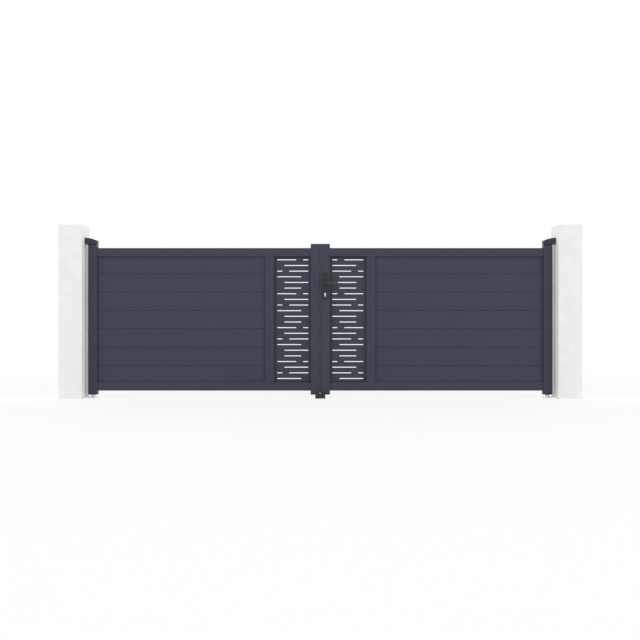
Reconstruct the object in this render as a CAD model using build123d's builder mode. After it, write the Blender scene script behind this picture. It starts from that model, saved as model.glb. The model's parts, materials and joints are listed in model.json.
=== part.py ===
from build123d import *
import os

# Double swing gate of powder-coated aluminium between two rendered pillars, in millimetres.
# The origin is the middle of the left pillar's base. X runs along the gate towards the right
# pillar, -Y is the street side and Z is up. Left-hand pieces are modelled and mirrored.

# Passage and pillars
PASSAGE_WIDTH = 4000.0
PILLAR_SIDE = 200.0
PILLAR_HEIGHT = 1465.0
PILLAR_EDGE = 4.0

# Leaf frame: hollow profiles with a groove that takes the infill
HINGE_GAP = 28.0
MEETING_GAP = 14.0
GROUND_GAP = 30.0
STILE_WIDTH = 75.0
STILE_DEPTH = 60.0
STILE_CORNER = 5.0
HINGE_STILE_TOP = 1304.0
MEETING_STILE_TOP = 1310.0
BOTTOM_RAIL_Z = 63.0
TOP_RAIL_Z = 1203.0
RAIL_HEIGHT = 72.0
RAIL_DEPTH = 46.0
RAIL_CORNER = 1.5
PROFILE_WALL = 2.0
GROOVE_WIDTH = 20.4
GROOVE_DEPTH = 15.0
PANEL_BAY = 310.0

# Caps that close the stiles' ends
FIT_GAP = 0.2
FOOT_CAP = 12.0
TOP_CAP = 4.0
SPIGOT_LENGTH = 30.0

# Boards, tongued and grooved, hollow
BOARD_COUNT = 7
BOARD_THICKNESS = 20.0
BOARD_BEVEL = 2.2
BOARD_WALL = 1.5
BOARD_GAP = 0.4
BOARD_ENTRY = 14.0
BOARD_SEAT = 0.5
EXPANSION_GAP = 5.5
TONGUE_HEIGHT = 8.0
TONGUE_THICKNESS = 6.0
TONGUE_PLAY = 0.6

# Slotted panel and its rubber frame
SHEET_THICKNESS = 3.0
SHEET_ENTRY = 12.0
GASKET_SHOW = 3.0
SLOT_ROWS = 22
SLOT_HEIGHT = 7.0
SLOT_SHORT = 42.0
SLOT_BREAK = 60.0
SLOT_MARGIN_MID = 26.5
SLOT_MARGIN_MEETING = 21.5
SLOT_MARGIN_BOTTOM = 30.0
SLOT_MARGIN_TOP = 26.5

# Hinges: a pin from a pillar bracket above, a pin on a floor plate below
PIN_RADIUS = 10.0
PIN_PLAY = 0.05
PIN_ENTRY = 25.0
THRUST_GAP = 0.5
BOSS_RADIUS = 18.0
BOSS_RISE = 12.0
BRACKET_THICKNESS = 8.0
BRACKET_WIDTH = 44.0
BRACKET_CORNER = 12.0
BRACKET_DROP = 4.0
BRACKET_RISE = 26.0
PIVOT_PLATE_SIDE = 76.0
PIVOT_PLATE_THICKNESS = 8.0
PIVOT_PLATE_CORNER = 8.0
PIVOT_HUB_RADIUS = 17.0

# Hood over the top hinge
COVER_GAP = 5.0
COVER_SHELL = 3.0
COVER_RISE = 53.0
COVER_NOSE = 29.0
COVER_BULGE = 6.0
COVER_NOSE_RADIUS = 8.0
COVER_EDGE = 3.0

# Ground stop in front of the meeting stiles
STOP_WIDTH = 84.0
STOP_HEIGHT = 42.0
STOP_THICKNESS = 31.5
STOP_BASE = 6.0
STOP_CLEARANCE = 5.5
STOP_EDGE = 5.0

# Strip on the right leaf that covers most of the gap between the leaves
STRIP_REACH = 8.5
STRIP_WIDTH = 12.0
STRIP_SETBACK = 1.0
STRIP_FOOT_GAP = 8.0

# Lock on the right meeting stile
LOCK_BACKSET = 34.0
LEVER_Z = 977.0
LOCK_CENTRES = 92.0
PLATE_WIDTH = 52.0
PLATE_HEIGHT = 224.0
PLATE_THICKNESS = 8.0
PLATE_CORNER = 12.0
PLATE_EDGE = 2.0
PLATE_ABOVE_LEVER = 83.0
CYLINDER_RADIUS = 8.5
CYLINDER_TAIL = 10.0
CYLINDER_DROP = 24.5
CYLINDER_PROUD = 3.0
CYLINDER_PLAY = 0.2
LEVER_NECK = 9.0
LEVER_PLAY = 0.08
LEVER_LENGTH = 110.0
LEVER_HEIGHT = 18.0
LEVER_THICKNESS = 11.0
LEVER_STANDOFF = 31.0
LEVER_EDGE = 3.0
LEVER_LEG = 8.0
LEVER_LEG_GAP = 2.0
LEVER_ELBOW = 16.0
LEVER_TIP = 5.0
SPINDLE_SIDE = 8.0
SPINDLE_HOLE = 10.0
FOREND_WIDTH = 20.0
FOREND_HEIGHT = 235.0
FOREND_THICKNESS = 2.5
LATCH_WIDTH = 11.0
LATCH_HEIGHT = 16.0
LATCH_REACH = 5.0
KEEPER_PLAY = 4.0

# Places that follow from the sizes above
PILLAR_FACE = PILLAR_SIDE / 2
GATE_MIDDLE = PILLAR_FACE + PASSAGE_WIDTH / 2
MIRROR_PLANE = Plane.YZ.offset(GATE_MIDDLE)
HINGE_STILE_X = PILLAR_FACE + HINGE_GAP
HINGE_X = HINGE_STILE_X + STILE_WIDTH / 2
BOARD_BAY_X = HINGE_STILE_X + STILE_WIDTH
MEETING_EDGE_X = GATE_MIDDLE - MEETING_GAP / 2
PANEL_BAY_END = MEETING_EDGE_X - STILE_WIDTH
PANEL_BAY_X = PANEL_BAY_END - PANEL_BAY
MID_STILE_X = PANEL_BAY_X - STILE_WIDTH
BAY_BOTTOM = BOTTOM_RAIL_Z + RAIL_HEIGHT
BAY_TOP = TOP_RAIL_Z
TUBE_BOTTOM = GROUND_GAP + FOOT_CAP
RAIL_TOP = TOP_RAIL_Z + RAIL_HEIGHT
COVER_LOW = HINGE_STILE_TOP + COVER_GAP
ARM_LOW = HINGE_STILE_TOP + BOSS_RISE + THRUST_GAP
LOCK_X = GATE_MIDDLE + MEETING_GAP / 2 + LOCK_BACKSET
CYLINDER_Z = LEVER_Z - LOCK_CENTRES
PLATE_Z = LEVER_Z + PLATE_ABOVE_LEVER - PLATE_HEIGHT / 2
STILE_FRONT = STILE_DEPTH / 2
PLATE_FRONT = STILE_FRONT + PLATE_THICKNESS
LEVER_BACK = PLATE_FRONT + LEVER_STANDOFF
LEVER_FRONT = LEVER_BACK + LEVER_THICKNESS

os.makedirs("parts", exist_ok=True)


def write(piece, name):
    """Label a finished piece and write it to its own file."""
    piece.part.label = name
    export_step(piece.part, f"parts/{name}.step")


def write_pair(piece, name):
    """Write a left-hand piece and its mirror image on the right."""
    with BuildPart() as twin:
        mirror(piece.part, about=MIRROR_PLANE)
    write(piece, f"left_{name}")
    write(twin, f"right_{name}")


def profile(plane, width, depth, soften, corner, length, groove_edges):
    """Hollow profile: local x runs across its face, with infill grooves at the given edges.

    soften is the operation that takes the sharpness off its four corners.
    """
    near = PROFILE_WALL + (GROOVE_DEPTH if 0 in groove_edges else 0)
    far = width - PROFILE_WALL - (GROOVE_DEPTH if width in groove_edges else 0)
    pocket_inner = GROOVE_WIDTH / 2 + PROFILE_WALL
    pocket_outer = depth / 2 - PROFILE_WALL
    pocket_y = (pocket_inner + pocket_outer) / 2
    with BuildPart() as tube:
        with BuildSketch(plane) as section:
            with Locations((width / 2, 0)):
                Rectangle(width, depth)
            soften(section.vertices(), corner)
            with Locations(((near + far) / 2, 0)):
                Rectangle(far - near, depth - 2 * PROFILE_WALL, mode=Mode.SUBTRACT)
            for edge in groove_edges:
                inward = 1 if edge == 0 else -1
                with Locations((edge + inward * GROOVE_DEPTH / 2, 0)):
                    Rectangle(GROOVE_DEPTH, GROOVE_WIDTH, mode=Mode.SUBTRACT)
                pocket_x = edge + inward * (GROOVE_DEPTH + PROFILE_WALL) / 2
                with Locations((pocket_x, pocket_y), (pocket_x, -pocket_y)):
                    Rectangle(
                        GROOVE_DEPTH - PROFILE_WALL,
                        pocket_outer - pocket_inner,
                        mode=Mode.SUBTRACT,
                    )
        extrude(amount=length)
    return tube


def stile_cap(plane, plate, filler, bore=False, boss=0.0):
    """Cap for a stile's end: plate, spigot in the main chamber and a filler in the groove.

    Local z points into the stile. A hinge cap has a bore for the pin and may have a boss.
    """
    chamber = STILE_WIDTH - GROOVE_DEPTH - 2 * PROFILE_WALL
    with BuildPart() as cap:
        with BuildSketch(plane):
            with Locations((STILE_WIDTH / 2, 0)):
                RectangleRounded(STILE_WIDTH, STILE_DEPTH, STILE_CORNER)
        extrude(amount=plate)
        with BuildSketch(plane.offset(plate)):
            with Locations((PROFILE_WALL + chamber / 2, 0)):
                Rectangle(
                    chamber - 2 * FIT_GAP,
                    STILE_DEPTH - 2 * PROFILE_WALL - 2 * FIT_GAP,
                )
        extrude(amount=SPIGOT_LENGTH)
        with BuildSketch(plane.offset(plate)):
            with Locations((STILE_WIDTH - GROOVE_DEPTH / 2, 0)):
                Rectangle(GROOVE_DEPTH - 2 * FIT_GAP, GROOVE_WIDTH - 2 * FIT_GAP)
        extrude(amount=filler)
        if boss:
            with BuildSketch(plane):
                with Locations((STILE_WIDTH / 2, 0)):
                    Circle(BOSS_RADIUS)
            extrude(amount=-boss)
        if bore:
            with BuildSketch(plane.offset(-boss)):
                with Locations((STILE_WIDTH / 2, 0)):
                    Circle(PIN_RADIUS + PIN_PLAY)
            extrude(amount=boss + plate + SPIGOT_LENGTH, mode=Mode.SUBTRACT)
    return cap


def cylinder_outline(play):
    """Lock cylinder's profile seen from the street: a circle with a narrower tail below."""
    tail_top = CYLINDER_TAIL / 2
    with BuildSketch(Plane.XZ) as outline:
        with Locations((LOCK_X, CYLINDER_Z)):
            Circle(CYLINDER_RADIUS + play)
        with Locations((LOCK_X, CYLINDER_Z + (tail_top - CYLINDER_DROP) / 2)):
            SlotOverall(
                tail_top + CYLINDER_DROP + 2 * play,
                CYLINDER_TAIL + 2 * play,
                rotation=90,
            )
    return outline.sketch


def hood_section(inset):
    """Hood seen from the street, drawn in by the given amount at its top and nose."""
    nose_x = BOARD_BAY_X - inset
    back_top = (PILLAR_FACE, COVER_LOW + COVER_RISE - inset)
    nose_top = (nose_x, COVER_LOW + COVER_NOSE - inset)
    with BuildSketch(Plane.XZ) as section:
        with BuildLine():
            Polyline(nose_top, (nose_x, COVER_LOW), (PILLAR_FACE, COVER_LOW), back_top)
            SagittaArc(back_top, nose_top, COVER_BULGE)
        make_face()
        nose = section.vertices().group_by(Axis.X)[-1].sort_by(Axis.Y)[-1]
        fillet(nose, COVER_NOSE_RADIUS - inset)
    return section.sketch


# Pillars: one mass of rendered masonry each, with softened corners
with BuildPart() as pillar:
    with BuildSketch():
        Rectangle(PILLAR_SIDE, PILLAR_SIDE)
    extrude(amount=PILLAR_HEIGHT)
    corners = pillar.edges().filter_by(Axis.Z)
    rim = pillar.faces().sort_by(Axis.Z)[-1].edges()
    chamfer(corners + rim, PILLAR_EDGE)
write_pair(pillar, "pillar")

# Top hinge bracket: flange on the pillar, arm over the stile and a pin that hangs from it
with BuildPart() as top_hinge:
    with BuildSketch(Plane.YZ.offset(PILLAR_FACE)):
        with Locations((0, ARM_LOW + (BRACKET_RISE - BRACKET_DROP) / 2)):
            Rectangle(BRACKET_WIDTH, BRACKET_RISE + BRACKET_DROP)
    extrude(amount=BRACKET_THICKNESS)
    arm_end = HINGE_X + BRACKET_WIDTH / 2
    with BuildSketch(Plane.XY.offset(ARM_LOW)) as arm:
        with Locations(((PILLAR_FACE + arm_end) / 2, 0)):
            Rectangle(arm_end - PILLAR_FACE, BRACKET_WIDTH)
        chamfer(arm.vertices().group_by(Axis.X)[-1], BRACKET_CORNER)
    extrude(amount=BRACKET_THICKNESS)
    with BuildSketch(Plane.XZ):
        with BuildLine():
            Polyline(
                (PILLAR_FACE, ARM_LOW + BRACKET_RISE),
                (PILLAR_FACE + BRACKET_THICKNESS, ARM_LOW + BRACKET_RISE),
                (HINGE_X, ARM_LOW + BRACKET_THICKNESS),
                (PILLAR_FACE, ARM_LOW + BRACKET_THICKNESS),
                close=True,
            )
        make_face()
    extrude(amount=BRACKET_THICKNESS / 2, both=True)
    with BuildSketch(Plane.XY.offset(ARM_LOW)):
        with Locations((HINGE_X, 0)):
            Circle(PIN_RADIUS)
    extrude(amount=-(THRUST_GAP + BOSS_RISE + PIN_ENTRY))
write_pair(top_hinge, "top_hinge")

# Hood over the top hinge: a shell that is open below and towards the pillar
hood_outside = hood_section(0.0)
hood_inside = hood_section(COVER_SHELL)
with BuildPart() as hinge_cover:
    extrude(hood_outside, amount=STILE_DEPTH / 2, both=True)
    bottom_face = hinge_cover.faces().sort_by(Axis.Z)[0]
    pillar_face = hinge_cover.faces().sort_by(Axis.X)[0]
    outer = hinge_cover.edges() - bottom_face.edges() - pillar_face.edges()
    chamfer(outer.filter_by(Axis.Y, reverse=True), COVER_EDGE)
    extrude(
        hood_inside,
        amount=STILE_DEPTH / 2 - COVER_SHELL,
        both=True,
        mode=Mode.SUBTRACT,
    )
write_pair(hinge_cover, "hinge_cover")

# Floor pivot: plate, hub and the pin that the stile's foot turns on
with BuildPart() as floor_pivot:
    with BuildSketch() as plate:
        with Locations((HINGE_X, 0)):
            Rectangle(PIVOT_PLATE_SIDE, PIVOT_PLATE_SIDE)
        chamfer(plate.vertices(), PIVOT_PLATE_CORNER)
    extrude(amount=PIVOT_PLATE_THICKNESS)
    with BuildSketch(Plane.XZ):
        with BuildLine():
            hub_top = GROUND_GAP - THRUST_GAP
            pin_top = GROUND_GAP + FOOT_CAP + PIN_ENTRY
            Polyline(
                (HINGE_X, PIVOT_PLATE_THICKNESS),
                (HINGE_X + PIVOT_HUB_RADIUS, PIVOT_PLATE_THICKNESS),
                (HINGE_X + PIVOT_HUB_RADIUS, hub_top),
                (HINGE_X + PIN_RADIUS, hub_top),
                (HINGE_X + PIN_RADIUS, pin_top),
                (HINGE_X, pin_top),
                close=True,
            )
        make_face()
    revolve(axis=Axis((HINGE_X, 0, 0), (0, 0, 1)))
write_pair(floor_pivot, "floor_pivot")

# Ground stop: the leaves close against its upstand, and its base runs on under them
with BuildPart() as centre_stop:
    stop_back = -(STILE_FRONT + STOP_CLEARANCE)
    with BuildSketch(Plane.YZ.offset(GATE_MIDDLE)) as stop_section:
        with BuildLine():
            Polyline(
                (stop_back - STOP_THICKNESS, 0),
                (STILE_FRONT, 0),
                (STILE_FRONT, STOP_BASE),
                (stop_back, STOP_BASE),
                (stop_back, STOP_HEIGHT),
                (stop_back - STOP_THICKNESS, STOP_HEIGHT),
                close=True,
            )
        make_face()
        fillet(stop_section.vertices().group_by(Axis.Y)[-1], STOP_EDGE)
    extrude(amount=STOP_WIDTH / 2, both=True)
write(centre_stop, "centre_stop")

# Stiles: the groove faces the infill, and the middle stile has one on each side
hinge_tube = profile(
    Plane((HINGE_STILE_X, 0, TUBE_BOTTOM), x_dir=(1, 0, 0), z_dir=(0, 0, 1)),
    STILE_WIDTH,
    STILE_DEPTH,
    fillet,
    STILE_CORNER,
    HINGE_STILE_TOP - TOP_CAP - TUBE_BOTTOM,
    (STILE_WIDTH,),
)
write_pair(hinge_tube, "hinge_stile")

mid_stile = profile(
    Plane((MID_STILE_X, 0, BAY_BOTTOM), x_dir=(1, 0, 0), z_dir=(0, 0, 1)),
    STILE_WIDTH,
    RAIL_DEPTH,
    chamfer,
    RAIL_CORNER,
    BAY_TOP - BAY_BOTTOM,
    (0, STILE_WIDTH),
)
write_pair(mid_stile, "mid_stile")

meeting_tube = profile(
    Plane((MEETING_EDGE_X, 0, TUBE_BOTTOM), x_dir=(-1, 0, 0), z_dir=(0, 0, 1)),
    STILE_WIDTH,
    STILE_DEPTH,
    fillet,
    STILE_CORNER,
    MEETING_STILE_TOP - TOP_CAP - TUBE_BOTTOM,
    (STILE_WIDTH,),
)
with BuildPart() as left_meeting_stile:
    add(meeting_tube.part)
    with BuildSketch(Plane.YZ.offset(MEETING_EDGE_X)):
        with Locations((0, LEVER_Z)):
            Rectangle(LATCH_WIDTH + KEEPER_PLAY, LATCH_HEIGHT + KEEPER_PLAY)
    extrude(amount=-PROFILE_WALL, mode=Mode.SUBTRACT)
write(left_meeting_stile, "left_meeting_stile")

with BuildPart() as right_meeting_stile:
    mirror(meeting_tube.part, about=MIRROR_PLANE)
    with BuildSketch(Plane.XZ):
        with Locations((LOCK_X, LEVER_Z)):
            Circle(SPINDLE_HOLE)
        with Locations((LOCK_X, CYLINDER_Z + (CYLINDER_RADIUS - CYLINDER_DROP) / 2)):
            Rectangle(
                2 * (CYLINDER_RADIUS + CYLINDER_PLAY),
                CYLINDER_RADIUS + CYLINDER_DROP + 2 * CYLINDER_PLAY,
            )
    extrude(amount=STILE_FRONT, both=True, mode=Mode.SUBTRACT)
write(right_meeting_stile, "right_meeting_stile")

# Rails: from stile to stile, with their grooves towards the infill
rail_length = PANEL_BAY_END - BOARD_BAY_X
bottom_rail = profile(
    Plane((BOARD_BAY_X, 0, BOTTOM_RAIL_Z), x_dir=(0, 0, 1), z_dir=(1, 0, 0)),
    RAIL_HEIGHT,
    RAIL_DEPTH,
    chamfer,
    RAIL_CORNER,
    rail_length,
    (RAIL_HEIGHT,),
)
write_pair(bottom_rail, "bottom_rail")

top_rail = profile(
    Plane((BOARD_BAY_X, 0, RAIL_TOP), x_dir=(0, 0, -1), z_dir=(1, 0, 0)),
    RAIL_HEIGHT,
    RAIL_DEPTH,
    chamfer,
    RAIL_CORNER,
    rail_length,
    (RAIL_HEIGHT,),
)
write_pair(top_rail, "top_rail")

# Stile caps: a foot and a top for each outer stile, bored for the pins at the hinge
foot_filler = BOTTOM_RAIL_Z - TUBE_BOTTOM
with BuildPart() as stile_caps:
    for edge_x, across, top, hinged in (
        (HINGE_STILE_X, 1, HINGE_STILE_TOP, True),
        (MEETING_EDGE_X, -1, MEETING_STILE_TOP, False),
    ):
        foot = Plane((edge_x, 0, GROUND_GAP), x_dir=(across, 0, 0), z_dir=(0, 0, 1))
        head = Plane((edge_x, 0, top), x_dir=(across, 0, 0), z_dir=(0, 0, -1))
        boss = BOSS_RISE if hinged else 0.0
        add(stile_cap(foot, FOOT_CAP, foot_filler, bore=hinged).part)
        add(stile_cap(head, TOP_CAP, top - TOP_CAP - RAIL_TOP, hinged, boss).part)
write_pair(stile_caps, "stile_caps")

# Boards: each tongue stands in the groove of the board above it
boards_bottom = BAY_BOTTOM - GROOVE_DEPTH + BOARD_SEAT
boards_top = BAY_TOP + GROOVE_DEPTH - EXPANSION_GAP
board_cover = (boards_top - boards_bottom) / BOARD_COUNT
board_height = board_cover - BOARD_GAP
board_length = MID_STILE_X - BOARD_BAY_X + 2 * BOARD_ENTRY
tongue_slot = TONGUE_HEIGHT - BOARD_GAP + TONGUE_PLAY
chamber_low = tongue_slot + BOARD_WALL
chamber_high = board_height - BOARD_BEVEL - BOARD_WALL
chamber_height = (chamber_high - chamber_low - BOARD_WALL) / 2
for index in range(BOARD_COUNT):
    board_origin = (BOARD_BAY_X - BOARD_ENTRY, 0, boards_bottom + index * board_cover)
    with BuildPart() as board:
        with BuildSketch(Plane(board_origin, x_dir=(0, 0, 1), z_dir=(1, 0, 0))) as section:
            with Locations((board_height / 2, 0)):
                Rectangle(board_height, BOARD_THICKNESS)
            chamfer(section.vertices(), BOARD_BEVEL)
            with Locations((tongue_slot / 2, 0)):
                Rectangle(tongue_slot, TONGUE_THICKNESS + 2 * FIT_GAP, mode=Mode.SUBTRACT)
            with Locations(
                (chamber_low + chamber_height / 2, 0),
                (chamber_high - chamber_height / 2, 0),
            ):
                Rectangle(chamber_height, BOARD_THICKNESS - 2 * BOARD_WALL, mode=Mode.SUBTRACT)
            if index < BOARD_COUNT - 1:
                with Locations((board_height + TONGUE_HEIGHT / 2, 0)):
                    Rectangle(TONGUE_HEIGHT, TONGUE_THICKNESS)
        extrude(amount=board_length)
    write_pair(board, f"board_{index + 1}")

# Slotted panel: a sheet with rows of slots, their lengths repeating every six rows from the top
bay_middle = ((PANEL_BAY_X + PANEL_BAY_END) / 2, (BAY_BOTTOM + BAY_TOP) / 2)
sheet_size = (PANEL_BAY + 2 * SHEET_ENTRY, BAY_TOP - BAY_BOTTOM + 2 * SHEET_ENTRY)
field_x = PANEL_BAY_X + SLOT_MARGIN_MID
field = PANEL_BAY - SLOT_MARGIN_MID - SLOT_MARGIN_MEETING
first_row = BAY_TOP - SLOT_MARGIN_TOP
row_pitch = (first_row - BAY_BOTTOM - SLOT_MARGIN_BOTTOM) / (SLOT_ROWS - 1)
slot_rows = (
    ((0, field - SLOT_SHORT - SLOT_BREAK), (field - SLOT_SHORT, field)),
    ((SLOT_BREAK, field),),
    ((0, SLOT_SHORT), (SLOT_SHORT + SLOT_BREAK, field)),
    ((0, field - SLOT_BREAK),),
    ((SLOT_BREAK, field),),
    ((SLOT_BREAK, field - SLOT_BREAK),),
)
with BuildPart() as cut_panel:
    with BuildSketch(Plane.XZ):
        with Locations(bay_middle):
            Rectangle(*sheet_size)
        for row in range(SLOT_ROWS):
            for start, end in slot_rows[row % len(slot_rows)]:
                with Locations((field_x + (start + end) / 2, first_row - row * row_pitch)):
                    Rectangle(end - start, SLOT_HEIGHT, mode=Mode.SUBTRACT)
    extrude(amount=SHEET_THICKNESS / 2, both=True)
write_pair(cut_panel, "cut_panel")

# Rubber frame that fills the grooves around the sheet and shows as a thin black line
gasket_entry = GROOVE_DEPTH - BOARD_SEAT
with BuildPart() as panel_gasket:
    with BuildSketch(Plane.XZ):
        with Locations(bay_middle):
            Rectangle(
                PANEL_BAY + 2 * gasket_entry,
                BAY_TOP - BAY_BOTTOM + 2 * gasket_entry,
            )
            Rectangle(
                PANEL_BAY - 2 * GASKET_SHOW,
                BAY_TOP - BAY_BOTTOM - 2 * GASKET_SHOW,
                mode=Mode.SUBTRACT,
            )
    extrude(amount=GROOVE_WIDTH / 2 - FIT_GAP, both=True)
    with BuildSketch(Plane.XZ):
        with Locations(bay_middle):
            Rectangle(*sheet_size)
    extrude(amount=SHEET_THICKNESS / 2, both=True, mode=Mode.SUBTRACT)
write_pair(panel_gasket, "panel_gasket")

# Meeting strip: stands on the right stile's edge and reaches towards the left leaf
with BuildPart() as meeting_strip:
    strip_front = -STILE_FRONT + STRIP_SETBACK
    strip_low = TUBE_BOTTOM + STRIP_FOOT_GAP
    with BuildSketch(Plane.YZ.offset(GATE_MIDDLE + MEETING_GAP / 2)):
        with Locations((strip_front + STRIP_WIDTH / 2, (strip_low + MEETING_STILE_TOP) / 2)):
            Rectangle(STRIP_WIDTH, MEETING_STILE_TOP - strip_low)
    extrude(amount=-STRIP_REACH)
write(meeting_strip, "meeting_strip")

# Lock plates: one on each side of the right meeting stile
with BuildPart() as lock_plates:
    for inner_y in (STILE_FRONT, -PLATE_FRONT):
        with BuildSketch(Plane.XZ.offset(inner_y)):
            with Locations((LOCK_X, PLATE_Z)):
                RectangleRounded(PLATE_WIDTH, PLATE_HEIGHT, PLATE_CORNER)
        extrude(amount=PLATE_THICKNESS)
    outer_faces = lock_plates.faces().sort_by(Axis.Y)
    chamfer(outer_faces[0].edges() + outer_faces[-1].edges(), PLATE_EDGE)
    with BuildSketch(Plane.XZ):
        with Locations((LOCK_X, LEVER_Z)):
            Circle(LEVER_NECK + LEVER_PLAY)
        add(cylinder_outline(CYLINDER_PLAY))
    extrude(amount=PLATE_FRONT, both=True, mode=Mode.SUBTRACT)
write(lock_plates, "lock_plates")

# Lock cylinder: right through the stile and a little proud of both plates
with BuildPart() as lock_cylinder:
    with BuildSketch(Plane.XZ):
        add(cylinder_outline(0.0))
    extrude(amount=PLATE_FRONT + CYLINDER_PROUD, both=True)
write(lock_cylinder, "lock_cylinder")

# Lock forend on the stile's edge, with the latch drawn back to a short nose
with BuildPart() as lock_forend:
    edge_x = GATE_MIDDLE + MEETING_GAP / 2
    with BuildSketch(Plane.YZ.offset(edge_x)):
        with Locations((0, PLATE_Z)):
            Rectangle(FOREND_WIDTH, FOREND_HEIGHT)
    extrude(amount=-FOREND_THICKNESS)
    with BuildSketch(Plane.YZ.offset(edge_x - FOREND_THICKNESS)):
        with Locations((0, LEVER_Z)):
            Rectangle(LATCH_WIDTH, LATCH_HEIGHT)
    extrude(amount=-LATCH_REACH)
write(lock_forend, "lock_forend")

# Levers: a leg that bends into the grip, with a round neck through the plate.
# The street one carries the square spindle, the yard one has its socket.
lever_low = Plane.XY.offset(LEVER_Z - LEVER_HEIGHT / 2)
with BuildPart() as lever_blank:
    with BuildSketch(lever_low) as lever_plan:
        with BuildLine():
            leg_end = -(PLATE_FRONT + LEVER_LEG_GAP)
            tip_x = LOCK_X + LEVER_LENGTH
            Polyline(
                (LOCK_X - LEVER_LEG, leg_end),
                (LOCK_X - LEVER_LEG, -LEVER_FRONT),
                (tip_x, -LEVER_FRONT),
                (tip_x, -LEVER_BACK),
                (LOCK_X + LEVER_LEG, -LEVER_BACK),
                (LOCK_X + LEVER_LEG, leg_end),
                close=True,
            )
        make_face()
        crook = lever_plan.vertices().group_by(Axis.Y)[1].sort_by(Axis.X)[0]
        fillet(crook, LEVER_LEG)
        elbow = lever_plan.vertices().group_by(Axis.Y)[0].sort_by(Axis.X)[0]
        fillet(elbow, LEVER_ELBOW)
        fillet(lever_plan.vertices().group_by(Axis.X)[-1], LEVER_TIP)
    extrude(amount=LEVER_HEIGHT)
    flats = lever_blank.faces().filter_by(Axis.Z)
    leg_edges = lever_blank.faces().sort_by(Axis.Y)[-1].edges()
    chamfer(flats.edges() - leg_edges, LEVER_EDGE)
    with BuildSketch(Plane.XZ.offset(STILE_FRONT)):
        with Locations((LOCK_X, LEVER_Z)):
            Circle(LEVER_NECK)
    extrude(amount=PLATE_FRONT + LEVER_LEG_GAP - STILE_FRONT)
with BuildPart() as front_lever:
    add(lever_blank.part)
    with BuildSketch(Plane.XZ.offset(STILE_FRONT)):
        with Locations((LOCK_X, LEVER_Z)):
            Rectangle(SPINDLE_SIDE, SPINDLE_SIDE)
    extrude(amount=-(STILE_FRONT + LEVER_BACK))
write(front_lever, "front_lever")

with BuildPart() as rear_lever:
    mirror(lever_blank.part, about=Plane.XZ)
    with BuildSketch(Plane.XZ.offset(-STILE_FRONT)):
        with Locations((LOCK_X, LEVER_Z)):
            Rectangle(SPINDLE_SIDE + 2 * FIT_GAP, SPINDLE_SIDE + 2 * FIT_GAP)
    extrude(amount=-(LEVER_BACK - STILE_FRONT + FIT_GAP), mode=Mode.SUBTRACT)
write(rear_lever, "rear_lever")
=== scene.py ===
# %% [markdown]
# # A driveway gate in anthracite
# The real gate is two aluminium leaves hung between rendered pillars. Hollow boards fill most of
# each leaf, and a sheet with cut slots stands beside each meeting stile. The hard shapes come
# packed from the CAD model, already at their real size in metres, so they are loaded and never
# moved. This lesson gives them their finishes and adds the small parts that are quicker to make
# as meshes.

# %% Load the imported gate
import json
import math

import bmesh
import bpy
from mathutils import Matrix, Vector, noise


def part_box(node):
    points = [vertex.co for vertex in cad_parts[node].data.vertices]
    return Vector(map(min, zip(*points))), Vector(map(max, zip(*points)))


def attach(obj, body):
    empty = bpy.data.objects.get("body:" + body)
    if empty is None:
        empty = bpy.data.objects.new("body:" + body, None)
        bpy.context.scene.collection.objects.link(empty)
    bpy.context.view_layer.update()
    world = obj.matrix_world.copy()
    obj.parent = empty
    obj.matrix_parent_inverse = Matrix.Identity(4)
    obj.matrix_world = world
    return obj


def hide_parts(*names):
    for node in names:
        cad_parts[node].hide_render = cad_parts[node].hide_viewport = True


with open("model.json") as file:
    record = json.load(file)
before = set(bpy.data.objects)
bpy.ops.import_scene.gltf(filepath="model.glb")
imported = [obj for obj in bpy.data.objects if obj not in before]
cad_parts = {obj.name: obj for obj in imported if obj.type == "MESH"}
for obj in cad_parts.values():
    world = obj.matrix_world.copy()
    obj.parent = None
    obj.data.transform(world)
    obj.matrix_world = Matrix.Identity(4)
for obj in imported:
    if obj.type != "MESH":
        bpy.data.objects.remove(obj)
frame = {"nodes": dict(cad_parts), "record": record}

MM = 0.001
scene = bpy.context.scene
nodes = frame["nodes"]
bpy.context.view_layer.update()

# %% [markdown]
# ## Where the camera stands
# The tops of both pillars look level and their sides upright, so the camera looks straight at the
# gate without a tilt. The pillars' inner faces show on both sides, which puts the camera near the
# middle, a little over six metres away, and the horizon is just under half the gate's height. A
# lens of a little over 40 mm then frames the whole width. No shift is needed. A new camera looks
# straight down, so a quarter turn makes it look level.

# %% Camera
CAMERA_PLACE = (2.0975, -6.43, 0.6635)
CAMERA_LENS = 42.42
LEVEL_LOOK = math.radians(90)

camera = bpy.data.objects.new("gate_camera", bpy.data.cameras.new("gate_camera"))
camera.data.lens = CAMERA_LENS
camera.location = CAMERA_PLACE
camera.rotation_euler = (LEVEL_LOOK, 0, 0)
scene.collection.objects.link(camera)
scene.camera = camera
scene.view_settings.view_transform = "Standard"
print("camera at", CAMERA_PLACE, "with a", CAMERA_LENS, "mm lens")

# %% [markdown]
# ## Soft studio light
# The picture is bright and even, with hardly a shadow. A pale sky all round does most of that work.
# The pillars' inner faces are nearly as bright as their fronts, so two wide lamps shine in from the
# left and the right of the street, and two weaker ones from the yard. They are suns with a large
# disc: a sun is equally bright all along the gate, and a large disc gives soft shadows. What the
# camera sees behind the gate is plain white, and so is what shiny metal reflects, which Light Path
# tells apart from the light that falls on the gate.

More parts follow.
